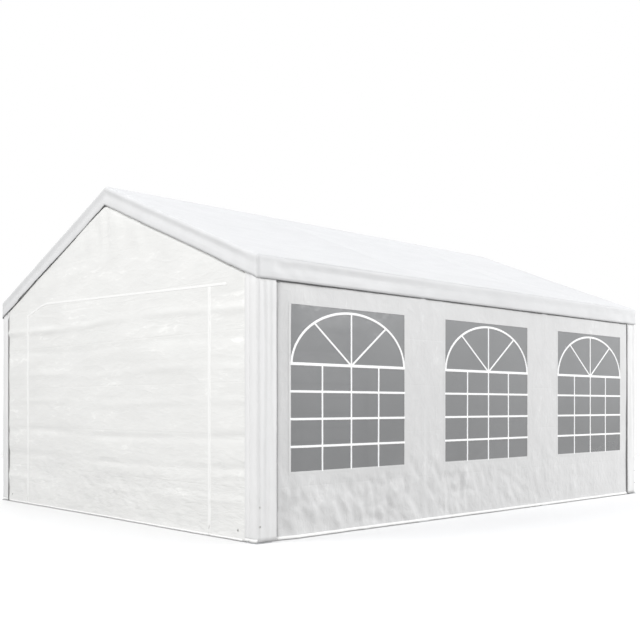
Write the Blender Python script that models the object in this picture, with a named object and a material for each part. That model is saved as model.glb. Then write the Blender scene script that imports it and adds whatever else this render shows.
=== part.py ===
"""Marquee tent: a white sheet tent on a bolted steel tube frame.

The tent stands on the ground at z = 0, with its middle at the origin. Its length runs along Y and
its width along X, so the gables face -Y and +Y and the window walls face -X and +X.
"""

import math

import bmesh
import bpy
from mathutils import Matrix, Vector

# Overall sizes, in metres
TENT_LENGTH = 6.0
TENT_WIDTH = 4.6
RIDGE_HEIGHT = 3.176  # where the slopes would meet, above the rounded ridge
EAVE_HEIGHT = 2.246  # where a slope would meet its valance, outside the rounded fold
VALANCE_DROP = 0.182
FRAME_SPACING = 2.0
GAP = 0.0003
ARC_STEPS = 4

# Cloth, each piece as a thin solid
CLOTH = 0.006
FILM = 0.003
RIDGE_ROUND = 0.03
FOLD_ROUND = 0.045
WALL_TOP = 2.235
SLEEVE_TOP = 2.212
SLEEVE_LONG_LEG = 0.202
SLEEVE_GABLE_LEG = 0.154

# Windows in each long wall
WINDOW_PITCH = 1.945
WINDOW_WIDTH = 1.36
WINDOW_SILL = 0.54
WINDOW_HEAD = 1.89
FILM_LAP = 0.04

# Roll-up door in each gable, between its two zips
DOOR_WIDTH = 3.324
DOOR_HEIGHT = 2.05

# Steel frame
TUBE_RADIUS = 0.019
NECK_RADIUS = 0.0175
TUBE_ROUNDNESS = 6
ARM_LENGTH = 0.14
BEND_RADIUS = 0.035
FOOT_SIZE = 0.154
FOOT_THICKNESS = 0.006

# Places that follow from the sizes above
HALF_LENGTH = TENT_LENGTH / 2
HALF_WIDTH = TENT_WIDTH / 2
SLOPE = math.atan2(RIDGE_HEIGHT - EAVE_HEIGHT, HALF_WIDTH)
HEM = FOOT_THICKNESS + GAP
LAYER = CLOTH + GAP
SLEEVE_X = HALF_WIDTH - LAYER
SLEEVE_Y = HALF_LENGTH - LAYER
WALL_X = SLEEVE_X - LAYER
WALL_Y = SLEEVE_Y - LAYER
FILM_X = WALL_X - LAYER
POST_X = FILM_X - FILM - GAP - TUBE_RADIUS
POST_Y = WALL_Y - LAYER - TUBE_RADIUS
WINDOW_PLACES = (-WINDOW_PITCH, 0, WINDOW_PITCH)
FRAME_LINES = (-POST_Y, -FRAME_SPACING / 2, FRAME_SPACING / 2, POST_Y)
ROOF_TO_TUBE = (CLOTH + GAP + TUBE_RADIUS) / math.cos(SLOPE)

SIDES = (("left", -1), ("right", 1))
ENDS = (("front", -1), ("back", 1))

# Local X and Y of an outline go to these world axes, and its thickness to the third
ACROSS = Matrix(((1, 0, 0, 0), (0, 0, -1, 0), (0, 1, 0, 0), (0, 0, 0, 1)))
ALONG = Matrix(((0, 0, 1, 0), (1, 0, 0, 0), (0, 1, 0, 0), (0, 0, 0, 1)))


def clear_scene():
    for item in list(bpy.data.objects):
        bpy.data.objects.remove(item, do_unlink=True)


def new_collection(name):
    collection = bpy.data.collections.new(name)
    bpy.context.scene.collection.children.link(collection)
    return collection


def new_material(name, colour, roughness, metallic=0.0, alpha=1.0):
    material = bpy.data.materials.new(name)
    material.use_nodes = True
    shader = material.node_tree.nodes["Principled BSDF"]
    shader.inputs["Base Color"].default_value = (*colour, 1.0)
    shader.inputs["Roughness"].default_value = roughness
    shader.inputs["Metallic"].default_value = metallic
    shader.inputs["Alpha"].default_value = alpha
    return material


def roof_height(x, below=0.0):
    """Height of the roof's outer face at x, or of a plane that lies below it, square to the slope."""
    return RIDGE_HEIGHT - abs(x) * math.tan(SLOPE) - below / math.cos(SLOPE)


def add_object(name, data, collection, material=None):
    item = bpy.data.objects.new(name, data)
    collection.objects.link(item)
    if material:
        data.materials.append(material)
    return item


def add_outline(name, loops, thickness, turn, place, collection, material=None):
    """A flat piece: its first loop is the edge and the others are holes."""
    curve = bpy.data.curves.new(name, "CURVE")
    curve.dimensions = "2D"
    curve.fill_mode = "BOTH"
    curve.extrude = thickness / 2
    for loop in loops:
        spline = curve.splines.new("POLY")
        spline.points.add(len(loop) - 1)
        for point, (across, up) in zip(spline.points, loop):
            point.co = (across, up, 0, 1)
        spline.use_cyclic_u = True
    item = add_object(name, curve, collection, material)
    item.matrix_world = Matrix.Translation(place) @ turn
    return item


def add_box(name, low, high, collection, material=None):
    mesh = bpy.data.meshes.new(name)
    shape = bmesh.new()
    bmesh.ops.create_cube(shape, size=1.0)
    size = Vector(high) - Vector(low)
    bmesh.ops.scale(shape, vec=size, verts=shape.verts)
    shape.to_mesh(mesh)
    shape.free()
    item = add_object(name, mesh, collection, material)
    item.location = (Vector(high) + Vector(low)) / 2
    return item


def add_tube(name, points, radius, collection, material=None):
    """A tube along straight runs, closed at its ends."""
    curve = bpy.data.curves.new(name, "CURVE")
    curve.dimensions = "3D"
    curve.bevel_depth = radius
    curve.bevel_resolution = TUBE_ROUNDNESS
    curve.use_fill_caps = True
    spline = curve.splines.new("POLY")
    spline.points.add(len(points) - 1)
    for point, place in zip(spline.points, points):
        point.co = (*place, 1)
    return add_object(name, curve, collection, material)


def as_mesh(item):
    """The same object as a welded mesh, so that a Boolean can use it."""
    bpy.context.view_layer.update()
    evaluated = item.evaluated_get(bpy.context.evaluated_depsgraph_get())
    mesh = bpy.data.meshes.new_from_object(evaluated)
    shape = bmesh.new()
    shape.from_mesh(mesh)
    bmesh.ops.remove_doubles(shape, verts=shape.verts, dist=0.00001)
    shape.to_mesh(mesh)
    shape.free()
    name = item.name
    collection = item.users_collection[0]
    place = item.matrix_world.copy()
    bpy.data.objects.remove(item, do_unlink=True)
    solid = bpy.data.objects.new(name, mesh)
    solid.matrix_world = place
    collection.objects.link(solid)
    return solid


def combine(item, other, operation):
    """Join the other solid to the item, or cut it away, and keep the other as a guide."""
    step = item.modifiers.new(operation.lower(), "BOOLEAN")
    step.operation = operation
    step.object = other
    other.hide_render = True
    other.display_type = "WIRE"


def round_corner(before, corner, after, radius):
    """Points of the arc that rounds off a corner between two straight runs."""
    first = (before - corner).normalized()
    last = (after - corner).normalized()
    half_angle = first.angle(last) / 2
    reach = radius / math.tan(half_angle)
    middle = corner + (first + last).normalized() * radius / math.sin(half_angle)
    arc_start = corner + first * reach - middle
    arc_end = corner + last * reach - middle
    points = []
    for step in range(ARC_STEPS + 1):
        spoke = arc_start.slerp(arc_end, step / ARC_STEPS).normalized()
        points.append(middle + spoke * radius)
    return points


def bent_run(start, corner, end):
    """Points along a tube from start to end with one rounded bend."""
    return [start, *round_corner(start, corner, end, BEND_RADIUS), end]


def roof_section(reach, foot, below):
    """Half-way round the roof: feet at the valance hems, rounded folds and a rounded ridge."""
    fold = roof_height(reach, below)
    foot_right = Vector((reach, foot, 0))
    fold_right = Vector((reach, fold, 0))
    top = Vector((0, roof_height(0, below), 0))
    fold_left = Vector((-reach, fold, 0))
    foot_left = Vector((-reach, foot, 0))
    points = [foot_left, foot_right]
    points += round_corner(foot_right, fold_right, top, FOLD_ROUND - below)
    points += round_corner(fold_right, top, fold_left, RIDGE_ROUND - below)
    points += round_corner(top, fold_left, foot_left, FOLD_ROUND - below)
    return [(point.x, point.y) for point in points]


def make_roof_cover(parts, cutters, cloth):
    """Both slopes in one sheet, with a valance all round below the fold."""
    valance_hem = EAVE_HEIGHT - VALANCE_DROP
    below = valance_hem - 0.05
    inside = HALF_WIDTH - CLOTH
    outer = roof_section(HALF_WIDTH, valance_hem, 0)
    hollow = roof_section(inside, below, CLOTH)
    gable_mouth = [
        (-inside, below),
        (inside, below),
        (inside, roof_height(inside) - VALANCE_DROP),
        (0, RIDGE_HEIGHT - VALANCE_DROP),
        (-inside, roof_height(inside) - VALANCE_DROP),
    ]
    centre = Vector((0, 0, 0))
    cover = as_mesh(add_outline("roof_cover", [outer], TENT_LENGTH, ACROSS, centre, parts))
    cover.data.materials.append(cloth)
    room = TENT_LENGTH - 2 * CLOTH
    through = TENT_LENGTH + 0.2
    cutter = as_mesh(add_outline("under_roof", [hollow], room, ACROSS, centre, cutters))
    combine(cover, cutter, "DIFFERENCE")
    cutter = as_mesh(add_outline("gable_mouth", [gable_mouth], through, ACROSS, centre, cutters))
    combine(cover, cutter, "DIFFERENCE")


def make_side_wall(name, side, parts, cloth):
    """A long wall with its three window holes, up to the eave tube under the valance."""
    end = WALL_Y
    edge = [(-end, HEM), (end, HEM), (end, WALL_TOP), (-end, WALL_TOP)]
    loops = [edge]
    for middle in WINDOW_PLACES:
        low = middle - WINDOW_WIDTH / 2
        high = middle + WINDOW_WIDTH / 2
        hole = [(low, WINDOW_SILL), (low, WINDOW_HEAD), (high, WINDOW_HEAD), (high, WINDOW_SILL)]
        loops.append(hole)
    place = Vector((side * (WALL_X - CLOTH / 2), 0, 0))
    add_outline(name, loops, CLOTH, ALONG, place, parts, cloth)


def make_window_film(name, side, middle, parts, film):
    """The clear sheet behind one window hole, lapped onto the wall all round."""
    reach = WINDOW_WIDTH / 2 + FILM_LAP
    near = side * FILM_X
    far = side * (FILM_X - FILM)
    low = (min(near, far), middle - reach, WINDOW_SILL - FILM_LAP)
    high = (max(near, far), middle + reach, WINDOW_HEAD + FILM_LAP)
    add_box(name, low, high, parts, film)


def make_gable_wall(name, end, parts, cloth):
    """A gable sheet up to the roof, cut away where the roll-up door hangs."""
    door_x = DOOR_WIDTH / 2
    sheet = roof_section(WALL_X - LAYER, HEM, CLOTH + GAP)
    door_hole = [(-door_x, HEM), (-door_x, DOOR_HEIGHT), (door_x, DOOR_HEIGHT), (door_x, HEM)]
    outline = [sheet[0], *door_hole, *sheet[1:]]
    place = Vector((0, end * (WALL_Y - CLOTH / 2), 0))
    add_outline(name, [outline], CLOTH, ACROSS, place, parts, cloth)


def make_door(name, end, parts, cloth):
    """The roll-up door, let down and zipped into the gable sheet."""
    half = DOOR_WIDTH / 2 - GAP
    outer = end * WALL_Y
    inner = end * (WALL_Y - CLOTH)
    low = (-half, min(outer, inner), HEM)
    high = (half, max(outer, inner), DOOR_HEIGHT - GAP)
    add_box(name, low, high, parts, cloth)


def make_corner_sleeve(name, side, end, parts, cloth):
    """The cover of a corner leg: one strip folded round the corner."""
    outline = [
        (SLEEVE_X, SLEEVE_Y),
        (SLEEVE_X, SLEEVE_Y - SLEEVE_LONG_LEG),
        (SLEEVE_X - CLOTH, SLEEVE_Y - SLEEVE_LONG_LEG),
        (SLEEVE_X - CLOTH, SLEEVE_Y - CLOTH),
        (SLEEVE_X - SLEEVE_GABLE_LEG, SLEEVE_Y - CLOTH),
        (SLEEVE_X - SLEEVE_GABLE_LEG, SLEEVE_Y),
    ]
    placed = [(side * x, end * y) for x, y in outline]
    height = SLEEVE_TOP - HEM
    place = Vector((0, 0, HEM + height / 2))
    add_outline(name, [placed], height, Matrix.Identity(4), place, parts, cloth)


def make_post(name, side, line, parts, cutters, steel):
    """A leg with its foot plate, which reaches out under the hems of the walls."""
    top = roof_height(POST_X) - ROOF_TO_TUBE - ARM_LENGTH - GAP
    place = Vector((side * POST_X, line, 0))
    foot = Vector((0, 0, FOOT_THICKNESS / 2))
    post = as_mesh(add_tube(name, [place + foot, place + Vector((0, 0, top))], TUBE_RADIUS, parts))
    post.data.materials.append(steel)
    corner = abs(line) > FRAME_SPACING
    reach = sorted((side * SLEEVE_X, side * (SLEEVE_X - FOOT_SIZE)))
    if corner:
        end = math.copysign(1, line)
        depth = sorted((end * SLEEVE_Y, end * (SLEEVE_Y - FOOT_SIZE)))
    else:
        depth = (line - FOOT_SIZE / 2, line + FOOT_SIZE / 2)
    low = (reach[0], depth[0], 0)
    high = (reach[1], depth[1], FOOT_THICKNESS)
    plate = add_box(name + "_plate", low, high, cutters)
    combine(post, plate, "UNION")


def make_eave_fitting(name, side, line, parts, cutters, steel):
    """A bent tube from the post to the rafter, with a neck along the eave for each eave tube."""
    joint = Vector((side * POST_X, line, roof_height(POST_X) - ROOF_TO_TUBE))
    down = joint + Vector((0, 0, -ARM_LENGTH))
    up_slope = Vector((-side * math.cos(SLOPE), 0, math.sin(SLOPE)))
    run = bent_run(down, joint, joint + up_slope * ARM_LENGTH)
    fitting = as_mesh(add_tube(name, run, TUBE_RADIUS, parts))
    fitting.data.materials.append(steel)
    start = max(-POST_Y, line - ARM_LENGTH)
    finish = min(POST_Y, line + ARM_LENGTH)
    ends = [Vector((joint.x, start, joint.z)), Vector((joint.x, finish, joint.z))]
    neck = as_mesh(add_tube(name + "_neck", ends, NECK_RADIUS, cutters))
    combine(fitting, neck, "UNION")


def make_eave_tube(name, side, line_a, line_b, parts, steel):
    """One tube between two eave fittings."""
    x = side * POST_X
    z = roof_height(POST_X) - ROOF_TO_TUBE
    inset = ARM_LENGTH + GAP
    ends = [Vector((x, line_a + inset, z)), Vector((x, line_b - inset, z))]
    add_tube(name, ends, TUBE_RADIUS, parts, steel)


def make_rafter(name, side, line, parts, steel):
    """One sloping tube between an eave fitting and the ridge."""
    inset = (ARM_LENGTH + GAP) * math.cos(SLOPE)
    low_x = POST_X - inset
    ends = [
        Vector((side * low_x, line, roof_height(low_x) - ROOF_TO_TUBE)),
        Vector((side * inset, line, roof_height(inset) - ROOF_TO_TUBE)),
    ]
    add_tube(name, ends, TUBE_RADIUS, parts, steel)


def make_ridge_pole(parts, cutters, steel):
    """The ridge tubes in one line, held by a bent fitting over each frame."""
    top = Vector((0, 0, RIDGE_HEIGHT - ROOF_TO_TUBE))
    reach = Vector((0, POST_Y + TUBE_RADIUS, 0))
    pole = as_mesh(add_tube("ridge_pole", [top - reach, top + reach], NECK_RADIUS, parts))
    pole.data.materials.append(steel)
    drop = math.sin(SLOPE) * ARM_LENGTH
    across = math.cos(SLOPE) * ARM_LENGTH
    for number, line in enumerate(FRAME_LINES, 1):
        joint = top + Vector((0, line, 0))
        left = joint + Vector((-across, 0, -drop))
        right = joint + Vector((across, 0, -drop))
        run = bent_run(left, joint, right)
        fitting = as_mesh(add_tube(f"ridge_fitting_{number}", run, TUBE_RADIUS, cutters))
        combine(pole, fitting, "UNION")


def make_tent():
    clear_scene()
    parts = new_collection("marquee_tent")
    cutters = new_collection("cutters")
    roof_cloth = new_material("roof_cloth", (0.86, 0.88, 0.90), 0.45)
    wall_cloth = new_material("wall_cloth", (0.80, 0.80, 0.79), 0.5)
    window_film = new_material("window_film", (0.75, 0.77, 0.78), 0.15, alpha=0.35)
    frame_steel = new_material("frame_steel", (0.62, 0.63, 0.64), 0.4, 0.9)

    make_roof_cover(parts, cutters, roof_cloth)
    for side_name, side in SIDES:
        make_side_wall(f"side_wall_{side_name}", side, parts, wall_cloth)
        for number, middle in enumerate(WINDOW_PLACES, 1):
            make_window_film(f"window_film_{side_name}_{number}", side, middle, parts, window_film)
    for end_name, end in ENDS:
        make_gable_wall(f"gable_wall_{end_name}", end, parts, wall_cloth)
        make_door(f"roll_up_door_{end_name}", end, parts, wall_cloth)
        for side_name, side in SIDES:
            name = f"corner_sleeve_{end_name}_{side_name}"
            make_corner_sleeve(name, side, end, parts, wall_cloth)
    for side_name, side in SIDES:
        for number, line in enumerate(FRAME_LINES, 1):
            place = f"{side_name}_{number}"
            make_post(f"post_{place}", side, line, parts, cutters, frame_steel)
            make_eave_fitting(f"eave_fitting_{place}", side, line, parts, cutters, frame_steel)
            make_rafter(f"rafter_{place}", side, line, parts, frame_steel)
        for number, (line_a, line_b) in enumerate(zip(FRAME_LINES, FRAME_LINES[1:]), 1):
            name = f"eave_tube_{side_name}_{number}"
            make_eave_tube(name, side, line_a, line_b, parts, frame_steel)
    make_ridge_pole(parts, cutters, frame_steel)


make_tent()
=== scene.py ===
"""Marquee tent, dressed: the cloth, windows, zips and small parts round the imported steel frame.

Lengths are in metres. The ridge runs along Y, the near gable faces -Y and the near long wall +X.
"""

import math

import bmesh
import bpy
import numpy as np
from mathutils import Matrix, Vector, noise


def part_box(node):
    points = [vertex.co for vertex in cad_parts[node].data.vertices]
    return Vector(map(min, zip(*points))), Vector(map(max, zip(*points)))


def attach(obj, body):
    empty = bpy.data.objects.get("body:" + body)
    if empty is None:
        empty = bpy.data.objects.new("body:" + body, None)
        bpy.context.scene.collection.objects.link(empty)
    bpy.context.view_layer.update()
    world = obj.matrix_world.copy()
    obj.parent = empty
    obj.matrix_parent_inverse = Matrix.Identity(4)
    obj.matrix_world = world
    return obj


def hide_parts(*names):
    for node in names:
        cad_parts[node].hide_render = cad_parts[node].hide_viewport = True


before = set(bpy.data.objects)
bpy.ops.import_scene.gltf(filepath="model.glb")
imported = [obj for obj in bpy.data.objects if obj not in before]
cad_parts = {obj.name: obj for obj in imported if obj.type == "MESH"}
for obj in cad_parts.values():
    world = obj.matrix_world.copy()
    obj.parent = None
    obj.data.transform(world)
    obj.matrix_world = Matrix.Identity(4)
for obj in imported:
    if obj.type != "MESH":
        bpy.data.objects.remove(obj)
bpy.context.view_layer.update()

bl_info = {
    "name": "Marquee Tent",
    "version": (1, 0, 0),
    "blender": (4, 5, 0),
    "location": "View3D > Sidebar > Marquee",
    "description": "Builds the cloth, windows and fittings of a marquee tent round its steel frame",
    "category": "Add Mesh",
}

SIDES = (("left", -1), ("right", 1))
ENDS = (("front", -1), ("back", 1))
WINDOW_NUMBERS = (1, 2, 3)

# Places that come from the frame
ROOF_LOW, ROOF_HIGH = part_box("roof_cover")
HALF_WIDTH = ROOF_HIGH[0]
HALF_LENGTH = ROOF_HIGH[1]
VALANCE_HEM = ROOF_LOW[2]
DOOR_LOW, DOOR_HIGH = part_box("roll_up_door_front")
DOOR_HALF = DOOR_HIGH[0]
DOOR_TOP = DOOR_HIGH[2]
WALL_HEM = DOOR_LOW[2]
SLEEVE_LOW, SLEEVE_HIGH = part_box("corner_sleeve_front_right")
SLEEVE_X = SLEEVE_HIGH[0]
SLEEVE_Y = -SLEEVE_LOW[1]
SLEEVE_TOP = SLEEVE_HIGH[2]
SLEEVE_EDGE_X = SLEEVE_LOW[0]
SLEEVE_EDGE_Y = -SLEEVE_HIGH[1]
LONG_LEG = SLEEVE_Y - SLEEVE_EDGE_Y
SHORT_LEG = SLEEVE_X - SLEEVE_EDGE_X
POST_X = sum(corner[0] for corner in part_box("eave_tube_right_1")) / 2
FRAME_LINES = [sum(corner[1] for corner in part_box(f"rafter_right_{n}")) / 2 for n in (1, 2, 3, 4)]
FILM_BOXES = [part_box(f"window_film_right_{number}") for number in WINDOW_NUMBERS]
FILM_LAP = 0.04
WINDOWS = [(low[1] + FILM_LAP, high[1] - FILM_LAP) for low, high in FILM_BOXES]
SILL = FILM_BOXES[-1][0][2] + FILM_LAP
HEAD = FILM_BOXES[-1][1][2] - FILM_LAP

# Heights of the roof's sharp folds and of the points where the tubes' axes meet, and the tubes' radius
EAVE_HEIGHT = 2.246
RIDGE_HEIGHT = 3.176
EAVE_JOINT = 2.2354
RIDGE_JOINT = 3.1487
TUBE_RADIUS = 0.019
SLOPE = math.atan2(RIDGE_HEIGHT - EAVE_HEIGHT, HALF_WIDTH)
SLOPE_LENGTH = HALF_WIDTH / math.cos(SLOPE)
DROP = EAVE_HEIGHT - VALANCE_HEM

# The cut of the sheets
FOLD_RADIUS = 0.035
SLEEVE_RADIUS = 0.04
SLEEVE_FOOT = 0.010
WALL_TOP = 2.2
GABLE_SHOULDER = 2.06
RAKE_GAP = 0.055
BELOW_VALANCE = 0.022
UNDER_SLEEVE = 0.08
TURN_UP = 0.035
HEM_STRIP = 0.024
HEM_THICKNESS = 0.001
SLEEVE_THICKNESS = 0.0025
FILM_THICKNESS = 0.0006

# Spacing of the grids that the sheets are cut into
SLOPE_GRID = 0.034
RIDGE_GRID = 0.038
VALANCE_GRID = 0.022
WALL_GRID = 0.021
GABLE_GRID = 0.022

# How proud of the sheet's face the film and the strips' bases lie, and how far a bar laps the border
FILM_BASE = -0.0016
STRIP_BASE = -0.0004
BAR_LAP = 0.008

# Height and depth of the level folds across the gable sheets
LEVEL_FOLDS = (
    (1.87, 0.007), (1.62, -0.003), (1.38, 0.003), (1.1, 0.003), (0.8, -0.007), (0.55, -0.006), (0.3, 0.005),
)

# How each sheeting's crinkles are squeezed along X, Y and Z, then its crinkles, low crumples, and fold lines
# with the strength of their painted glints
SHEETING = {
    "roof": ((1.2, 0.5, 1.2), 0.22, 0, 0.15),
    "wall": ((1, 1, 0.75), 0.7, 0.3, 0.9),
    "gable": ((0.4, 1, 1.4), 0.9, 0.35, 1.0),
    "sleeve": ((1, 1, 0.3), 0.5, 0.2, 0),
    "hem": ((1, 1, 1), 0.3, 0, 0),
}

# Colour and roughness of the plastics
PLASTICS = {
    # The zip tape also colours the gable welt, where its lighter tone is a painted highlight
    "zip_tape": ((0.85, 0.85, 0.84), 0.45),
    "white_moulding": ((0.82, 0.82, 0.81), 0.3),
    # A dark disc that paints the shade inside each eyelet's hole
    "dark_gap": ((0.20, 0.20, 0.20), 0.7),
}

# Name, place, aim, size, power and colour of each lamp
LAMPS = (
    ("front_light", (-2.5, -12.0, 7.0), (0, -3, 1.4), 6.0, 620, (1, 1, 1)),
    ("fill_light", (10.0, -11.0, 5.5), (2.3, -3.0, 1.5), 4.0, 850, (1, 1, 1)),
    ("top_light", (-4.5, -0.5, 11.0), (1.2, 0, 2.7), 9.0, 480, (0.93, 0.95, 1)),
    ("over_light", (5.0, 1.5, 11.0), (1.2, 0, 2.7), 8.0, 300, (0.93, 0.95, 1)),
    ("side_light", (12.5, 8.5, 5.8), (2.3, 1.0, 1.2), 4.0, 300, (1, 1, 1)),
    ("low_light", (8.0, 14.0, 4.5), (2.3, 1.0, 1.2), 5.0, 1800, (1, 1, 1)),
    ("back_light", (-9.0, 2.0, 7.0), (-2.3, 0, 1.2), 6.0, 330, (1, 1, 1)),
)
MIRRORED_LAMPS = ("side_light", "over_light")


def length(name, default, description):
    """A size that the panel shows."""
    return bpy.props.FloatProperty(name=name, description=description, default=default, unit="LENGTH")


def paint(name, default, description):
    """A colour that the panel shows."""
    return bpy.props.FloatVectorProperty(
        name=name, description=description, default=default, subtype="COLOR"
    )


class ClothSettings(bpy.types.PropertyGroup):
    """Sizes and colours of the sheets."""

    thickness: length("Thickness", 0.0012, "Thickness of a sheet")
    sag: length("Roof Sag", 0.055, "Fall of the roof between two frames")
    waist: length("Waist", 0.016, "How far the valance is drawn in under the tube")
    tuck: length("Tuck", 0.012, "How far the walls' edges are tied back behind sleeve and valance")
    setback: length("Wall Setback", 0.018, "How far the walls hang behind the valance")
    crumple: length("Crumple", 0.015, "Depth of the crumples low on the walls")
    # All these sheets are one white coated sheeting; each sheet's tone is set to paint the light and shade
    # that falls on it, the long walls darkest as painted shade and the gables lightest as painted light
    roof_colour: paint("Roof Colour", (0.658, 0.661, 0.666), "Colour of the roof sheet")
    wall_colour: paint("Wall Colour", (0.649, 0.649, 0.649), "Colour of the window walls")
    gable_colour: paint("Gable Colour", (0.770, 0.770, 0.757), "Colour of the gable sheets")
    # The hem tone is lighter partly as doubled cloth and partly as painted light from the ground
    hem_colour: paint("Hem Colour", (0.90, 0.90, 0.89), "Colour of the doubled hems")
    sleeve_colour: paint("Sleeve Colour", (0.736, 0.736, 0.736), "Colour of the corner sleeves")


class WindowSettings(bpy.types.PropertyGroup):
    """Sizes and colours of the windows."""

    bar_width: length("Bar Width", 0.0195, "Width of a straight bar")
    arch_width: length("Arch Width", 0.021, "Width of the arched bar")
    spring_height: length("Spring Height", 1.41, "Height of the top level bar")
    arch_rise: length("Arch Rise", 0.455, "Rise of the arch above the top level bar")
    row_pitch: length("Row Pitch", 0.2235, "Distance from one level bar to the next")
    # The film's grey paints the shade of the dim inside seen through the window
    film_colour: paint("Film Colour", (0.30, 0.305, 0.31), "Colour of the clear film")
    bar_colour: paint("Bar Colour", (0.96, 0.96, 0.96), "Colour of the window bars")


class FittingSettings(bpy.types.PropertyGroup):
    """Sizes and colours of the zips, eyelets and steel."""

    zip_width: length("Zip Width", 0.038, "Width of the zip tape")
    eyelet_radius: length("Eyelet Radius", 0.0125, "Outer radius of an eyelet")
    steel_colour: paint("Steel Colour", (0.56, 0.57, 0.58), "Colour of the frame tubes")


class StageSettings(bpy.types.PropertyGroup):
    """The camera and the light round the tent."""

    eye: bpy.props.FloatVectorProperty(
        name="Eye", description="Place of the camera", default=(7.708, -7.416, 1.070),
        subtype="TRANSLATION",
    )
    heading: bpy.props.FloatProperty(
        name="Heading", description="Turn of the camera from the ridge's direction",
        default=math.radians(46.76), subtype="ANGLE",
    )
    focal_pixels: bpy.props.FloatProperty(
        name="Focal Length", description="Focal length in pixels of a 640 pixel picture",
        default=902.9,
    )
    horizon: bpy.props.FloatProperty(
        name="Horizon", description="Row of the horizon in a 640 pixel picture", default=405.9
    )
    mirrored_sky: bpy.props.FloatProperty(
        name="Mirrored Sky", description="Strength of the white that shines in glossy surfaces",
        default=0.85,
    )
    sky: bpy.props.FloatProperty(
        name="Sky", description="Strength of the even white light", default=0.45
    )


class TentSettings(bpy.types.PropertyGroup):
    """Everything that the tent's panel shows."""

    cloth: bpy.props.PointerProperty(type=ClothSettings)
    window: bpy.props.PointerProperty(type=WindowSettings)
    fitting: bpy.props.PointerProperty(type=FittingSettings)
    stage: bpy.props.PointerProperty(type=StageSettings)


def stations(stops, spacing):
    """Even places along a line that pass through every stop."""
    places = []
    for low, high in zip(stops, stops[1:]):
        count = max(1, round((high - low) / spacing))
        places += [low + (high - low) * step / count for step in range(count)]
    return np.array(places + [stops[-1]])


def near_folds(low, high, spacing, folds):
    """Places from low to high that lie closer together beside each fold."""
    fine = (0.0, 0.007, 0.015, 0.024, 0.034, 0.046)
    close = sorted({round(f + s * e, 6) for f in folds for e in fine for s in (-1, 1)})
    close = [place for place in close if low - 1e-6 <= place <= high + 1e-6]
    rough = stations([low, high], spacing)
    kept = [p for p in rough if min(abs(p - c) for c in close) > 0.6 * spacing]
    return np.array(sorted(close + kept))


def middles(grid):
    """The value in the middle of each cell of a grid."""
    return (grid[:-1, :-1] + grid[1:, 1:]) / 2


def waves(a, b, seed, scale_a, scale_b):
    """Smooth noise, about -1 to 1, over two arrays of places; the scales are waves a metre."""
    flat = [
        noise.noise(Vector((u * scale_a + 17.3 * seed, v * scale_b - 9.1 * seed, 3.7 * seed)))
        for u, v in zip(a.ravel(), b.ravel())
    ]
    return np.array(flat).reshape(a.shape) * 1.6


def creases(a, b, seed, scale_a, scale_b):
    """Narrow raised creases, 1 on the crest and 0 between."""
    return np.clip(1 - 2.4 * np.abs(waves(a, b, seed, scale_a, scale_b)), 0, 1) ** 1.5


def facets(a, b, seed, scale_a, scale_b):
    """Crumpled facets with sharp valleys between them, about 0 to 0.6."""
    depths = []
    for u, v in zip(a.ravel(), b.ravel()):
        place = Vector((u * scale_a + 5.1 * seed, v * scale_b - 3.3 * seed, 1.9 * seed))
        nearest = noise.voronoi(place)[0]
        depths.append(nearest[1] - nearest[0])
    return np.array(depths).reshape(a.shape)


def rise(distance, reach):
    """0 at an edge, 1 from reach inwards, smooth between."""
    share = np.clip(distance / reach, 0, 1)
    return share * share * (3 - 2 * share)


def hump(distance, reach):
    """1 at a line, falling off smoothly on both sides."""
    return np.exp(-((distance / reach) ** 2))


def fade(distance, reach):
    """1 at an edge, fading inwards."""
    return np.exp(-distance / reach)


def at_least(relief, lowest, blend=0.002):
    """The relief, kept above a lowest value with a soft bend."""
    over = (relief - lowest) / blend
    return lowest + blend * np.logaddexp(0, over)


def new_object(name, mesh, finish):
    """An object in the scene, with one material."""
    item = bpy.data.objects.new(name, mesh)
    bpy.context.scene.collection.objects.link(item)
    mesh.materials.append(finish)
    return item


def welded_sheet(name, patches, finish, thickness):
    """One sheet of cloth, welded from patches of (points, lengths, outward, kept faces)."""
    shape = bmesh.new()
    layer = shape.loops.layers.uv.new("metres")
    for points, lengths, outward, kept in patches:
        rows, columns = points.shape[:2]
        verts = [shape.verts.new(point) for point in points.reshape(-1, 3)]
        across = points[rows // 2, columns // 2 + 1] - points[rows // 2, columns // 2]
        along = points[rows // 2 + 1, columns // 2] - points[rows // 2, columns // 2]
        turned = float(np.dot(np.cross(across, along), outward)) < 0
        for row in range(rows - 1):
            for column in range(columns - 1):
                if kept is not None and not kept[row, column]:
                    continue
                ring = [(row, column), (row, column + 1), (row + 1, column + 1), (row + 1, column)]
                if turned:
                    ring.reverse()
                face = shape.faces.new([verts[r * columns + c] for r, c in ring])
                face.smooth = True
                for loop, (r, c) in zip(face.loops, ring):
                    loop[layer].uv = lengths[r, c]
    loose = [vert for vert in shape.verts if not vert.link_faces]
    bmesh.ops.delete(shape, geom=loose, context="VERTS")
    bmesh.ops.remove_doubles(shape, verts=shape.verts, dist=0.00005)
    mesh = bpy.data.meshes.new(name)
    shape.to_mesh(mesh)
    shape.free()
    item = new_object(name, mesh, finish)
    solid = item.modifiers.new("thickness", "SOLIDIFY")
    solid.thickness = thickness
    solid.offset = -1
    return item


def patch(points, a, b, outward, kept=None):
    """A grid of points whose cloth is measured by a and b, for welded_sheet."""
    return points, np.stack([a, b], -1), outward, kept


def join_rings(shape, rings, closed=False):
    """Faces from ring to ring; closed joins the last to the first, otherwise both ends are capped."""
    following_rings = rings[1:] + rings[:1] if closed else rings[1:]
    for ring, following in zip(rings, following_rings):
        for i in range(len(ring)):
            j = (i + 1) % len(ring)
            shape.faces.new((ring[i], ring[j], following[j], following[i]))
    if not closed:
        shape.faces.new(rings[0][::-1])
        shape.faces.new(rings[-1])


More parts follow.
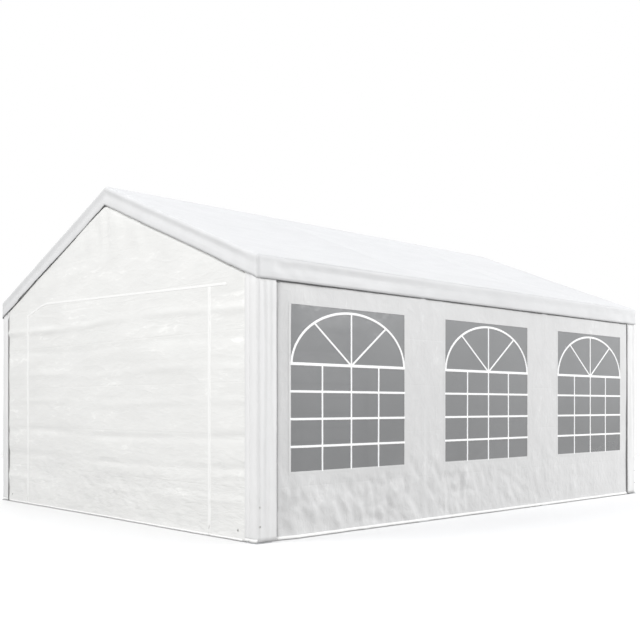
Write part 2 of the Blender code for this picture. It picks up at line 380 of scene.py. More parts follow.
def ribbon(shape, path, facing, width, height):
    """Adds a closed strip with bevelled edges along a path; width is one value or one a point."""
    path = [Vector(point) for point in path]
    out = Vector(facing)
    rings = []
    for index, across in enumerate(np.broadcast_to(width, len(path))):
        before = path[max(index - 1, 0)]
        after = path[min(index + 1, len(path) - 1)]
        side = (after - before).cross(out).normalized()
        half = float(across) / 2
        bevel = min(height * 0.5, half * 0.5)
        section = [(-half, 0), (-half, height - bevel), (-half + bevel, height)]
        section += [(half - bevel, height), (half, height - bevel), (half, 0)]
        rings.append([shape.verts.new(path[index] + side * a + out * b) for a, b in section])
    join_rings(shape, rings)


def finish_shape(name, shape, finish):
    """Turns the gathered strips and rings into one object."""
    bmesh.ops.recalc_face_normals(shape, faces=shape.faces)
    mesh = bpy.data.meshes.new(name)
    shape.to_mesh(mesh)
    shape.free()
    mesh.shade_smooth()
    mesh.set_sharp_from_angle(angle=math.radians(35))
    return new_object(name, mesh, finish)


class Nodes:
    """A material's node tree, with short ways to add and join nodes."""

    def __init__(self, name):
        self.material = bpy.data.materials.new(name)
        self.material.use_nodes = True
        self.tree = self.material.node_tree
        self.shader = self.tree.nodes["Principled BSDF"]
        self.place = self.add("ShaderNodeTexCoord").outputs["Object"]

    def fill(self, node, values):
        """Sets or links a node's sockets by name, and sets its options."""
        for key, value in values.items():
            socket = node.inputs.get(key.replace("_", " "))
            if socket is None:
                setattr(node, key, value)
            elif isinstance(value, bpy.types.NodeSocket):
                self.tree.links.new(value, socket)
            else:
                socket.default_value = value
        return node

    def add(self, kind, **values):
        return self.fill(self.tree.nodes.new(kind), values)

    def noise(self, vector, scale, detail, **more):
        return self.add("ShaderNodeTexNoise", Vector=vector, Scale=scale, Detail=detail, **more)

    def bump(self, height, strength, distance, **more):
        node = self.add("ShaderNodeBump", Height=height, Strength=strength, Distance=distance, **more)
        return node.outputs["Normal"]

    def remap(self, value, old, new, **more):
        """A value taken from one range, given by its two ends, to another."""
        node = self.add("ShaderNodeMapRange", Value=value, From_Min=old[0], From_Max=old[1],
                        To_Min=new[0], To_Max=new[1], **more)
        return node.outputs["Result"]

    def ramp(self, value, *stops):
        """The colour that (place, colour) stops give to a value."""
        node = self.add("ShaderNodeValToRGB", Fac=value)
        marks = node.color_ramp.elements
        for index, (place, colour) in enumerate(stops):
            mark = marks[index] if index < 2 else marks.new(place)
            mark.position = place
            mark.color = (*colour, 1)
        return node.outputs["Color"]

    def math(self, operation, *values):
        node = self.tree.nodes.new("ShaderNodeMath")
        node.operation = operation
        for socket, value in zip(node.inputs, values):
            if isinstance(value, bpy.types.NodeSocket):
                self.tree.links.new(value, socket)
            else:
                socket.default_value = value
        return node.outputs[0]

    def finish(self, **values):
        """Sets the shader and hands the material over."""
        self.fill(self.shader, values)
        return self.material


def shade(colour, factor, most=1.0):
    """A darker or lighter tone of a colour."""
    return [min(c * factor, most) for c in colour]


def cloth_material(name, colour, stretch, crinkle, low_crumple, fold_and_glint_strength):
    """Coated sheet woven from flat tape: satin, with crinkles, old fold lines, a fine weave and light flecks
    that are painted glints.

    stretch sets how the crinkles run along X, Y and Z; low_crumple adds crumples near the ground.
    """
    n = Nodes(name)
    run = n.add("ShaderNodeMapping", Scale=stretch, Vector=n.place).outputs["Vector"]
    metres = n.add("ShaderNodeUVMap", uv_map="metres").outputs["UV"]
    split = n.add("ShaderNodeSeparateXYZ", Vector=metres)
    height = n.add("ShaderNodeSeparateXYZ", Vector=n.place).outputs["Z"]

    broad = n.noise(run, 4.2, 3.0, Distortion=0.4).outputs["Fac"]
    small = n.noise(run, 19.0, 4.0, Roughness=0.55, Distortion=0.8)
    ridges = n.noise(run, 7.5, 3.0, noise_type="RIDGED_MULTIFRACTAL", Roughness=0.5, Lacunarity=2.1,
                     Offset=0.9, Gain=1.6, Distortion=0.5)
    low = n.remap(height, (0.95, 0.3), (0.0, low_crumple), interpolation_type="SMOOTHSTEP")
    shift = n.add("ShaderNodeVectorMath", operation="MULTIPLY_ADD", Vector=small.outputs["Color"])
    shift.inputs[1].default_value = (0.06, 0.06, 0.06)
    n.tree.links.new(run, shift.inputs[2])
    crumple = n.add("ShaderNodeTexVoronoi", feature="DISTANCE_TO_EDGE", Scale=13.0,
                    Vector=shift.outputs["Vector"])
    rough_low = n.math("MULTIPLY", n.math("MULTIPLY", crumple.outputs["Distance"], 6.0), low)
    relief = n.math("ADD", n.math("MULTIPLY", ridges.outputs["Fac"], 0.5), rough_low)
    relief = n.math("ADD", relief, n.math("MULTIPLY", small.outputs["Fac"], 0.8))
    wear_and_glint_mask = n.math("MULTIPLY", broad, broad)
    for axis, pitch in (("X", 0.5), ("Y", 0.42)):
        away = n.math("PINGPONG", split.outputs[axis], pitch / 2)
        fold = n.remap(away, (0.0, 0.008), (-fold_and_glint_strength, 0.0))
        relief = n.math("ADD", relief, n.math("MULTIPLY", fold, wear_and_glint_mask))
    crinkled = n.bump(relief, crinkle, 0.003)

    tape = 2 * math.pi / 0.003
    warp, weft = (n.math("SINE", n.math("MULTIPLY", split.outputs[axis], tape)) for axis in "XY")
    woven = n.bump(n.math("MULTIPLY", warp, weft), 0.12, 0.0003, Normal=crinkled)

    # Light flecks on the worn parts: painted glints off the crinkles, not a colour of the sheet
    painted_glints = n.remap(small.outputs["Fac"], (0.50, 0.72), (0.0, 0.9 * fold_and_glint_strength))
    mottle_and_glints = n.math("ADD", broad, n.math("MULTIPLY", painted_glints, wear_and_glint_mask))
    tint = n.ramp(mottle_and_glints, (0.3, shade(colour, 0.95)), (0.7, colour), (1.0, shade(colour, 1.10, 0.9)))
    polish = n.math("MULTIPLY_ADD", small.outputs["Fac"], 0.22, 0.27)
    return n.finish(Base_Color=tint, Roughness=polish, Normal=woven, IOR=1.5)


def film_material(name, colour):
    """Soft clear film, slightly milky, glossy and gently rippled; its grey paints the shade of the dim
    inside, and it is painted lighter toward the top as light.
    """
    n = Nodes(name)
    height = n.add("ShaderNodeSeparateXYZ", Vector=n.place).outputs["Z"]
    # Milky haze at random, and lighter toward the top as painted light
    milky_and_lit_top = n.math("ADD", height, n.noise(n.place, 0.9, 3.0).outputs["Fac"])
    tone = n.ramp(n.remap(milky_and_lit_top, (1.0, 2.4), (0.0, 1.0)), (0, shade(colour, 0.84)), (1, shade(colour, 1.20)))
    ripple = n.noise(n.place, 4.5, 2.0, Distortion=0.6).outputs["Fac"]
    haze = n.math("MULTIPLY_ADD", ripple, 0.10, 0.10)
    return n.finish(Base_Color=tone, Roughness=haze, Normal=n.bump(ripple, 0.5, 0.012), IOR=1.5, Alpha=0.62)


def floor_material(name):
    """Pale floor that fades out round the tent."""
    n = Nodes(name)
    far = n.add("ShaderNodeVectorMath", operation="LENGTH", Vector=n.place).outputs["Value"]
    edge = n.remap(far, (5.0, 14.0), (1.0, 0.0), interpolation_type="SMOOTHSTEP")
    return n.finish(Base_Color=(0.86, 0.86, 0.86, 1), Roughness=0.9, Alpha=edge)


def plastic_material(name, colour, roughness):
    """Moulded or printed white plastic with a faint grain."""
    n = Nodes(name)
    grain = n.noise(n.place, 160.0, 2.0).outputs["Fac"]
    tone = n.ramp(grain, (0, shade(colour, 0.96)), (1, colour))
    return n.finish(Base_Color=tone, Roughness=roughness, Normal=n.bump(grain, 0.15, 0.0003))


def steel_material(name, colour, roughness, metallic):
    """Galvanised or coated steel tube with a cloudy surface and fine draw marks."""
    n = Nodes(name)
    cloud = n.noise(n.place, 22.0, 4.0).outputs["Fac"]
    spangle = n.add("ShaderNodeTexVoronoi", Scale=90.0, Vector=n.place).outputs["Distance"]
    tone = n.ramp(cloud, (0.3, shade(colour, 0.82)), (0.72, colour))
    polish = n.math("MULTIPLY_ADD", spangle, 0.25, roughness)
    return n.finish(Base_Color=tone, Roughness=polish, Normal=n.bump(cloud, 0.2, 0.0004), Metallic=metallic)


def material(make, name, *values):
    """The material of that name, made the first time that it is asked for."""
    return bpy.data.materials.get(name) or make(name, *values)


def sheeting(kind, cloth):
    """The coated sheet of the roof, walls, gables, sleeves or hems."""
    return material(cloth_material, f"{kind}_sheeting", getattr(cloth, f"{kind}_colour"), *SHEETING[kind])


def plastic(name):
    """One of the plastics of the small parts."""
    return material(plastic_material, name, *PLASTICS[name])


def plated_metal():
    """The bright metal of the eyelets and screws."""
    return material(steel_material, "plated_metal", (0.72, 0.72, 0.70), 0.22, 1.0)


def along_ridge(y):
    """0 at a frame and 1 half-way to the next."""
    lines = [-HALF_LENGTH, *FRAME_LINES[1:3], HALF_LENGTH]
    total = np.zeros_like(y)
    for low, high in zip(lines, lines[1:]):
        share = np.clip((y - low) / (high - low), 0, 1)
        total += np.where((y >= low) & (y <= high), np.sin(np.pi * share), 0)
    return total


def from_frames(y):
    """Distance to the nearest frame."""
    return np.min([np.abs(y - line) for line in FRAME_LINES], axis=0)


def rake_height(x):
    """Height of the roof's sharp outer face over a place across the tent."""
    return RIDGE_HEIGHT - np.abs(x) * math.tan(SLOPE)


def rounded(points, relief):
    """Bends the sheet softly round every fold of the roof, and lifts each point by its relief.

    A point keeps its direction from the nearest place of a core that lies one fold radius inside.
    """
    x, y, z = points[..., 0], points[..., 1], points[..., 2]
    side = np.where(x < 0, -1.0, 1.0)
    here = np.stack([np.abs(x), z], -1)
    core_side = HALF_WIDTH - FOLD_RADIUS
    core_top = RIDGE_HEIGHT - FOLD_RADIUS / math.cos(SLOPE)
    core_eave = core_top - core_side * math.tan(SLOPE)
    down = here[..., 0] * math.cos(SLOPE) - (z - core_top) * math.sin(SLOPE)
    down = np.clip(down, 0, core_side / math.cos(SLOPE))
    on_slope = np.stack([down * math.cos(SLOPE), core_top - down * math.sin(SLOPE)], -1)
    on_side = np.stack([np.full_like(x, core_side), np.minimum(z, core_eave)], -1)
    to_slope = np.linalg.norm(here - on_slope, axis=-1)
    to_side = np.linalg.norm(here - on_side, axis=-1)
    core = np.where((to_slope < to_side)[..., None], on_slope, on_side)
    inside = (here[..., 0] <= core_side) & (z <= core_top - here[..., 0] * math.tan(SLOPE))
    core = np.where(inside[..., None], here, core)
    core_end = HALF_LENGTH - FOLD_RADIUS
    core = np.stack([core[..., 0] * side, np.clip(y, -core_end, core_end), core[..., 1]], -1)
    away = points - core
    away /= np.linalg.norm(away, axis=-1)[..., None]
    return core + away * (FOLD_RADIUS + relief)[..., None]


def skin(points):
    """Slight unevenness that runs over every fold of the roof."""
    x, y, z = points[..., 0], points[..., 1], points[..., 2]
    return 0.0011 * waves(x + 0.4 * z, y - 0.6 * z, 11, 6.5, 6.5)


def slope_relief(down, y, side, cloth):
    """How far a slope stands out: it sags between the frames and has long streaks."""
    to_eave = SLOPE_LENGTH - down
    middle = 1.15 * (1 - np.sqrt((2 * np.clip(down / SLOPE_LENGTH, 0, 1) - 1) ** 2 + 0.02))
    relief = -cloth.sag * along_ridge(y) ** 0.8 * middle
    streaks = 0.006 * waves(down - 0.3 * y, y, 3 + side, 1.5, 0.3)
    streaks += 0.008 * waves(y - 0.45 * down, down, 5 + side, 1.1, 0.35)
    streaks -= 0.008 * creases(y - 0.5 * down, down, 8 + side, 0.8, 0.3) * rise(2.4 - y, 0.5)
    streaks += 0.006 * creases(down - 0.3 * y, y, 6 + side, 1.3, 0.2)
    edge = np.minimum(np.minimum(HALF_LENGTH - np.abs(y), to_eave), down)
    slack = np.minimum(np.minimum(from_frames(y), to_eave), down)
    return at_least(relief + streaks * rise(edge, 0.4), -0.0035 - 0.14 * slack)


def roof_slope(s, y, cloth):
    """Points of both slopes; s is the distance down from the ridge, negative to the left."""
    down = np.abs(s)
    sharp = np.stack([s * math.cos(SLOPE), y, RIDGE_HEIGHT - down * math.sin(SLOPE)], -1)
    relief = np.where(s < 0, slope_relief(down, y, -1, cloth), slope_relief(down, y, 1, cloth))
    return rounded(sharp, relief + skin(sharp))


def valance_relief(along, drop, to_corner, seed, waist):
    """How far a valance stands out: drawn in under the tube, free and wavy at its hem."""
    hang = np.clip(drop / DROP, 0, 1)
    swing = 0.005 * waves(along, drop, seed, 1.2, 1.0) + 0.0035 * waves(along, drop, seed + 1, 4.5, 4.0)
    pucker = 0.004 * waves(along, drop, seed + 2, 10.0, 4.0) * fade(to_corner, 0.6)
    pucker += 0.012 * (facets(along, drop, seed + 3, 7.0, 8.0) - 0.3) * fade(to_corner, 1.2)
    drawn_in = waist * hump(drop - 0.08, 0.03) * (0.45 + 0.55 * rise(to_corner, 0.4))
    return (swing * hang + pucker * rise(drop, 0.04)) * rise(to_corner, 0.12) - drawn_in


def side_valance(y, drop, side, cloth):
    """Points of the valance along a long side, most drawn in over its first window."""
    sharp = np.stack([np.full_like(y, side * HALF_WIDTH), y, EAVE_HEIGHT - drop], -1)
    waist = cloth.waist * (0.15 + 0.35 * hump(side * y + 1.9, 0.8))
    relief = valance_relief(y, drop, HALF_LENGTH - np.abs(y), 21 + 4 * side, waist)
    return rounded(sharp, relief + skin(sharp))


def gable_valance(s, drop, end, cloth):
    """Points of the valance along a gable, pleated under the peak."""
    x = s * math.cos(SLOPE)
    z = RIDGE_HEIGHT - np.abs(s) * math.sin(SLOPE) - drop
    sharp = np.stack([x, np.full_like(x, end * HALF_LENGTH), z], -1)
    relief = valance_relief(s, drop, HALF_WIDTH - np.abs(x), 41 + 4 * end, cloth.waist)
    pleats = 0.005 * waves(s, drop, 51 + end, 11.0, 1.5) * hump(s, 0.25)
    return rounded(sharp, relief + skin(sharp) + pleats * rise(drop, 0.05))


def make_roof(cloth):
    """The roof sheet with its side and gable valances, in one piece."""
    lines = near_folds(-SLOPE_LENGTH, SLOPE_LENGTH, SLOPE_GRID, [-SLOPE_LENGTH, 0, SLOPE_LENGTH])
    folds = [-HALF_LENGTH, *FRAME_LINES[1:3], HALF_LENGTH]
    along = near_folds(-HALF_LENGTH, HALF_LENGTH, RIDGE_GRID, folds)
    drops = near_folds(0, DROP, VALANCE_GRID, [0])
    s, y = np.meshgrid(lines, along)
    patches = [patch(roof_slope(s, y, cloth), s, y, (0, 0, 1))]
    y, drop = np.meshgrid(along, drops)
    for _, side in SIDES:
        points = side_valance(y, drop, side, cloth)
        patches.append(patch(points, side * (SLOPE_LENGTH + drop), y, (side, 0, 0)))
    s, drop = np.meshgrid(lines, drops)
    for _, end in ENDS:
        points = gable_valance(s, drop, end, cloth)
        patches.append(patch(points, s, end * (HALF_LENGTH + drop), (0, end, 0)))
    return welded_sheet("roof_sheet", patches, sheeting("roof", cloth), cloth.thickness)


def hanging_relief(along, up, seed, crumple):
    """How far a hanging wall stands out: soft waves, old fold lines and crumples low down."""
    low = (1 - rise(up - 0.2, 0.75)) * (0.3 + 0.7 * rise(up, 0.10))
    relief = 0.0045 * waves(along, up, seed, 0.9, 0.6)
    relief += 0.0032 * waves(along, up, seed + 1, 3.4, 1.3)
    relief += 0.0014 * waves(along, up, seed + 2, 7.5, 3.5)
    bent = along + 0.05 * waves(along, up, seed + 3, 3.0, 3.0) + 0.25 * up
    patchy = np.clip(0.75 + 1.1 * waves(along, up, seed + 4, 1.3, 1.8), 0.1, 1.4)
    relief += crumple * (0.10 + 0.90 * low) * patchy * (2.4 * facets(bent, up, seed + 5, 5.0, 3.4) - 0.6)
    relief += crumple * (0.06 + 0.94 * low) * patchy * (facets(bent, up, seed + 6, 12.0, 8.0) - 0.3)
    hung = creases(along + 0.15 * up, up, seed + 7, 5.0, 1.4)
    relief += 0.5 * crumple * (0.2 + 0.8 * low) * (hung - 0.3)
    for place, lines, shown in (
        (along, np.arange(-2.5, 2.6, 0.5), waves(along, up, seed + 8, 0.5, 1.3)),
        (up, np.arange(0.42, 2.9, 0.42), waves(along, up, seed + 9, 1.3, 0.5)),
    ):
        for line in lines:
            relief -= 0.0006 * fade(np.abs(place - line), 0.02) * rise(shown, 0.5)
    return relief


def window_calm(y, z):
    """Small near a window, where the film holds the sheet flat, and 1 away from it."""
    nearest = np.full_like(y, 9.0)
    for low, high in WINDOWS:
        gap_y = np.maximum(np.maximum(low - y, y - high), 0)
        gap_z = np.maximum(np.maximum(SILL - z, z - HEAD), 0)
        nearest = np.minimum(nearest, np.hypot(gap_y, gap_z))
    return 0.18 + 0.82 * rise(nearest - 0.03, 0.14)


def side_wall_points(y, z, side, cloth, proud=0.0):
    """Points on a long wall's sheet, or that far proud of it.

    The sheet is livelier near one end, lies behind sleeve and valance, and stays clear of the posts.
    """
    lively = cloth.crumple * (0.62 + 0.55 * np.clip(-side * y / 2.2, -1, 1))
    relief = hanging_relief(side * y, z, 61 + 7 * side, lively) * window_calm(y, z)
    edge = SLEEVE_EDGE_Y - np.abs(y)
    near = side * y < 0
    lap = np.where(near, edge - 0.034, edge + 0.012)
    bend = 0.026 * (1 - rise(edge, 0.27)) * (1 - 0.7 * rise(z - 1.7, 0.3))
    relief -= cloth.tuck * (1 - rise(lap, 0.016)) + bend * near
    under = rise(z - VALANCE_HEM + 0.010, 0.008) * rise(from_frames(y) - 0.02, 0.03)
    relief -= 1.7 * cloth.tuck * under * rise(edge - 0.02, 0.05)
    clear_of_post = np.minimum(*[np.abs(np.abs(y) - FRAME_LINES[n]) for n in (3, 2)])
    relief = at_least(relief, -0.0015 - 0.25 * np.clip(clear_of_post - 0.02, 0, 1))
    relief += 0.006 * fade(z - WALL_HEM, 0.02)
    return np.stack([side * (HALF_WIDTH - cloth.setback + relief + proud), y, z], -1)


def make_side_wall(name, side, cloth):
    """A long wall's sheet, cut out for its windows, with fine strips where it bends sharply."""
    end = SLEEVE_EDGE_Y + UNDER_SLEEVE
    tucked = SLEEVE_EDGE_Y - 0.01
    rim = 0.005
    laps = [SLEEVE_EDGE_Y - 0.034 - 0.004 * step for step in range(5)]
    stops = [-end, -tucked, tucked, end, *laps, *[-lap for lap in laps]]
    for low, high in WINDOWS:
        stops += [low - rim, low, high, high + rim]
    levels = [WALL_HEM, WALL_HEM + TURN_UP, SILL - rim, SILL, HEAD, HEAD + rim]
    levels += [VALANCE_HEM - 0.010, VALANCE_HEM - 0.002, VALANCE_HEM + 0.006, WALL_TOP]
    y, z = np.meshgrid(stations(sorted(stops), WALL_GRID), stations(levels, WALL_GRID))
    middle_y = middles(y)
    middle_z = middles(z)
    kept = np.ones_like(middle_y, bool)
    for low, high in WINDOWS:
        kept &= ~((middle_y > low) & (middle_y < high) & (middle_z > SILL) & (middle_z < HEAD))
    sheet = patch(side_wall_points(y, z, side, cloth), y, z, (side, 0, 0), kept)
    return welded_sheet(name, [sheet], sheeting("wall", cloth), cloth.thickness)


def gable_relief(x, z, end, cloth):
    """Long level waves, pleats under the peak, and the same crumples as the walls, but fewer."""
    relief = hanging_relief(x, z, 81 + 5 * end, 0.35 * cloth.crumple)
    relief += 0.0070 * waves(x, z + 0.1 * x, 91 + end, 0.45, 2.0)
    relief += 0.0040 * creases(x, z - 0.12 * x, 95 + end, 0.5, 1.9)
    relief += 0.0015 * waves(x, z - 0.05 * x, 99 + end, 1.3, 6.0)
    for line, depth in LEVEL_FOLDS:
        level = np.full_like(x, line)
        wander = line + 0.03 * waves(x, level, 107 + end, 0.7, 1.0)
        strength = 0.6 + 0.5 * waves(x, level, 109 + end, 1.6, 1.0)
        relief += 2.2 * depth * strength * hump(z - wander, 0.028)
    pleats = waves(x, z, 103 + end, 8.0, 0.7)
    below = rise(rake_height(x) - DROP - z, 0.15)
    relief += 0.015 * pleats * hump(x, 0.75) * rise(z - 2.3, 0.45) * (0.2 + 0.8 * below)
    held = np.minimum(np.abs(np.abs(x) - DOOR_HALF) / 0.07, 1)
    return relief * (0.3 + 0.7 * rise(held, 1))


def gable_points(x, z, end, cloth, proud=0.0):
    """Points on a gable's sheet and door, or that far proud of them."""
    edge = SLEEVE_EDGE_X - np.abs(x)
    hem = rake_height(x) - DROP
    lean = 0.016 - 0.010 * np.tanh(end * x / 0.05)
    under = rise(z - hem + lean, 0.014)
    tucked = np.maximum(1 - rise(edge + 0.012, 0.022), under)
    relief = gable_relief(x, z, end, cloth)
    relief = relief * (1 - 0.6 * tucked) - cloth.tuck * (tucked + 0.6 * under)
    relief += 0.006 * rise(z - hem + 0.4, 0.3)
    relief += 0.006 * fade(z - WALL_HEM, 0.02)
    return np.stack([x, end * (HALF_LENGTH - cloth.setback + relief + proud), z], -1)


def gable_patch(x, z, end, cloth, kept=None):
    """A patch of a gable's sheet or door."""
    return patch(gable_points(x, z, end, cloth), x, z, (0, end, 0), kept)


def make_gable(name, end, cloth):
    """The gable sheet: beside and over the door, up behind the valance."""
    reach = SLEEVE_EDGE_X + UNDER_SLEEVE
    tucked = SLEEVE_EDGE_X - 0.01
    columns = stations([-reach, -tucked, -DOOR_HALF, 0, DOOR_HALF, tucked, reach], GABLE_GRID)
    rows = stations([WALL_HEM, WALL_HEM + TURN_UP, DOOR_TOP, GABLE_SHOULDER], GABLE_GRID)
    x, z = np.meshgrid(columns, rows)
    beside = (np.abs(middles(x)) > DOOR_HALF) | (middles(z) > DOOR_TOP)
    patches = [gable_patch(x, z, end, cloth, beside)]
    x, share = np.meshgrid(columns, np.linspace(0, 1, 42))
    hem = rake_height(x) - DROP - BELOW_VALANCE
    patches.append(gable_patch(x, GABLE_SHOULDER + (hem - GABLE_SHOULDER) * share, end, cloth))
    x, above = np.meshgrid(columns, stations([0, DROP + BELOW_VALANCE - RAKE_GAP], 0.015))
    patches.append(gable_patch(x, rake_height(x) - DROP - BELOW_VALANCE + above, end, cloth))
    return welded_sheet(name, patches, sheeting("gable", cloth), cloth.thickness)


def make_door(name, end, cloth):
    """The door's sheet, let down to the ground."""
    columns = stations([-DOOR_HALF, 0, DOOR_HALF], GABLE_GRID)
    x, z = np.meshgrid(columns, stations([WALL_HEM, WALL_HEM + TURN_UP, DOOR_TOP], GABLE_GRID))
    return welded_sheet(name, [gable_patch(x, z, end, cloth)], sheeting("gable", cloth), cloth.thickness)


def sleeve_points(u, z, side, end, proud=0.0):
    """Points on a corner sleeve; u runs from the long leg's edge round the corner to the short leg's.

    Its flutes run upright, a narrow valley runs down the short leg, and it lies back under the valance.
    """
    x = np.where(u < 0, SLEEVE_X, SLEEVE_X - u)
    y = np.where(u < 0, SLEEVE_Y + u, SLEEVE_Y)
    core_x = np.minimum(x, SLEEVE_X - SLEEVE_RADIUS)
    core_y = np.minimum(y, SLEEVE_Y - SLEEVE_RADIUS)
    away = np.stack([x - core_x, y - core_y], -1)
    away /= np.linalg.norm(away, axis=-1)[..., None]
    flutes = 1.2 * waves(u, z, 111 + side + 3 * end, 13.0, 0.6)
    flutes += 0.7 * waves(u, z, 117 + side + end, 29.0, 1.2)
    flutes += 0.6 * waves(u, z, 123 + side, 9.0, 7.0)
    to_edge = np.minimum(u + LONG_LEG, SHORT_LEG - u)
    relief = 0.0032 * flutes * (0.35 + 0.65 * rise(to_edge, 0.03)) - 0.002
    valley = 0.108 + 0.010 * waves(z, np.zeros_like(z), 127 + side + end, 0.8, 1.0)
    relief -= 0.0095 * hump(u - valley, 0.009) + 0.004 * hump(u + 0.7 * valley, 0.018)
    relief += 0.004 * hump(u - 0.55 * valley, 0.018)
    relief -= 0.008 * rise(z - VALANCE_HEM + 0.03, 0.05)
    relief = np.clip(relief, -0.0105 + 0.0025 * hump(u, 0.05), 0.003) + proud
    place = np.stack([core_x, core_y], -1) + away * (SLEEVE_RADIUS + relief)[..., None]
    return np.stack([side * place[..., 0], end * place[..., 1], z], -1)


def sleeve_piece(name, around, rows, side, end, proud, finish, thickness):
    """A sheet that follows a corner sleeve."""
    u, z = np.meshgrid(around, rows)
    points = sleeve_points(u, z, side, end, proud)
    return welded_sheet(name, [patch(points, u, z, (side, end, 0))], finish, thickness)


def make_sleeve(name, side, end, cloth):
    """The cover of a corner leg: down one side, round the corner and along the other."""
    around = near_folds(-LONG_LEG, SHORT_LEG, 0.007, [0])
    rows = stations([SLEEVE_FOOT, 0.05, SLEEVE_TOP], 0.028)
    return sleeve_piece(name, around, rows, side, end, 0, sheeting("sleeve", cloth), SLEEVE_THICKNESS)


def sleeve_hem(name, side, end, cloth):
    """The doubled hem round the foot of a corner sleeve."""
    around = near_folds(-0.012, SHORT_LEG, 0.011, [0])
    rows = stations([0.008, 0.008 + HEM_STRIP], 0.011)
    return sleeve_piece(name, around, rows, side, end, 0.0015, sheeting("hem", cloth), cloth.thickness)


def wall_piece(name, columns, rows, side, cloth, proud, finish, thickness):
    """A sheet that follows a long wall."""
    y, z = np.meshgrid(columns, rows)
    points = side_wall_points(y, z, side, cloth, proud)
    return welded_sheet(name, [patch(points, y, z, (side, 0, 0))], finish, thickness)


def make_film(name, number, side, cloth, window):
    """One clear window, lapped behind the wall all round."""
    low, high = WINDOWS[number - 1]
    lap = FILM_LAP * 0.6
    rim = 0.004
    columns, rows = (
        stations([near - lap, near - lap + rim, far + lap - rim, far + lap], 0.05)
        for near, far in ((low, high), (SILL, HEAD))
    )
    film = material(film_material, "clear_vinyl", window.film_colour)
    return wall_piece(name, columns, rows, side, cloth, FILM_BASE, film, FILM_THICKNESS)


def wall_hem(name, side, cloth):
    """The doubled hem along the foot of a long wall, lighter partly as doubled cloth and partly as painted
    light.
    """
    end = SLEEVE_EDGE_Y + 0.01
    columns = stations([-end, end], 0.015)
    rows = stations([WALL_HEM, WALL_HEM + HEM_STRIP], 0.011)
    return wall_piece(name, columns, rows, side, cloth, 0.0018, sheeting("hem", cloth), HEM_THICKNESS)


def gable_hem(name, low, high, end, cloth):
    """The doubled hem along the foot of the gable sheet or the door."""
    rows = stations([WALL_HEM, WALL_HEM + HEM_STRIP * 0.6], 0.009)
    x, z = np.meshgrid(stations([low, high], 0.04), rows)
    hem = patch(gable_points(x, z, end, cloth, 0.0013), x, z, (0, end, 0))
    return welded_sheet(name, [hem], sheeting("hem", cloth), HEM_THICKNESS)


def wall_strip(shape, start, finish, side, cloth, base, width, height):
    """A straight strip welded to a long wall between two (y, z) places."""
    count = max(2, round(math.dist(start, finish) / 0.05))
    y, z = (np.linspace(a, b, count) for a, b in zip(start, finish))
    ribbon(shape, side_wall_points(y, z, side, cloth, base), (side, 0, 0), width, height)


def make_bars(name, number, side, cloth, window):
    """The white bars of a window: level and upright ones, the arch and its fan."""
    low, high = WINDOWS[number - 1]
    middle = (low + high) / 2
    half = (high - low) / 2
    spring = window.spring_height
    thin = window.bar_width * 0.87
    reach = half - window.arch_width * 0.3
    bars = []
    for row in range(4):
        level = spring - row * window.row_pitch
        width = window.bar_width * (1.25 if row == 0 else 1.0)
        bars.append(((low - BAR_LAP, level), (high + BAR_LAP, level), width, 0.0034))
    for quarter in (-0.5, 0, 0.5):
        place = middle + quarter * half
        bars.append(((place, SILL - BAR_LAP), (place, spring), thin, 0.0030))
    bars.append(((middle, spring), (middle, spring + window.arch_rise), thin, 0.0030))
    turn = math.radians(50)
    for lean in (-1, 1):
        tip = (middle + lean * reach * math.cos(turn), spring + window.arch_rise * 0.98 * math.sin(turn))
        bars.append(((middle, spring), tip, thin, 0.0032))
    shape = bmesh.new()
    for start, finish, width, height in bars:
        wall_strip(shape, start, finish, side, cloth, FILM_BASE, width, height)
    turns = np.linspace(0, math.pi, 49)
    y = middle + reach * np.cos(turns)
    z = spring + (window.arch_rise - window.arch_width / 2) * np.sin(turns)
    arch = side_wall_points(y, z, side, cloth, FILM_BASE)
    ribbon(shape, arch, (side, 0, 0), window.arch_width, 0.0038)
    return finish_shape(name, shape, material(plastic_material, "white_tape", window.bar_colour, 0.4))


def make_window_border(name, number, side, cloth):
    """The doubled edge of the wall sheet round a window."""
    low, high = WINDOWS[number - 1]
    shape = bmesh.new()
    inset = 0.012
    for start, finish in (
        ((low - 2 * inset, SILL - inset), (high + 2 * inset, SILL - inset)),
        ((low - 2 * inset, HEAD + inset), (high + 2 * inset, HEAD + inset)),
        ((low - inset, SILL), (low - inset, HEAD)),
        ((high + inset, SILL), (high + inset, HEAD)),
    ):
        wall_strip(shape, start, finish, side, cloth, STRIP_BASE, 2 * inset, 0.0012)
    return finish_shape(name, shape, sheeting("wall", cloth))


def gable_strip(shape, path, end, cloth, width, height):
    """A strip along (x, z) places of a gable; its path is cut fine enough to follow the sheet."""
    corners = np.array(path)
    fine = []
    for start, finish in zip(corners, corners[1:]):
        count = max(1, round(math.dist(start, finish) / 0.02))
        fine += [start + (finish - start) * i / count for i in range(count)]
    x, z = np.array([*fine, corners[-1]]).T
    ribbon(shape, gable_points(x, z, end, cloth, STRIP_BASE), (0, end, 0), width, height)


def make_zips(name, end, cloth, fitting):
    """Both zips of a door on their white tapes, shut down to the ground."""
    tapes = bmesh.new()
    teeth = bmesh.new()
    for x in (-DOOR_HALF, DOOR_HALF):
        tape = [(x, WALL_HEM + 0.004), (x, DOOR_TOP + 0.012)]
        gable_strip(tapes, tape, end, cloth, fitting.zip_width, 0.0022)
        z = np.arange(WALL_HEM + 0.012, DOOR_TOP, 0.003)
        places = gable_points(np.full_like(z, x), z, end, cloth, 0.0014)
        ribbon(teeth, places, (0, end, 0), [0.0046 + 0.0028 * (i % 2) for i in range(len(z))], 0.0026)
        slider(teeth, Vector(gable_points(np.array([x]), np.array([0.075]), end, cloth, 0.004)[0]), end)
    return (
        finish_shape(f"zip_tapes_{name}", tapes, plastic("zip_tape")),
        finish_shape(f"zip_teeth_{name}", teeth, plastic("white_moulding")),
    )


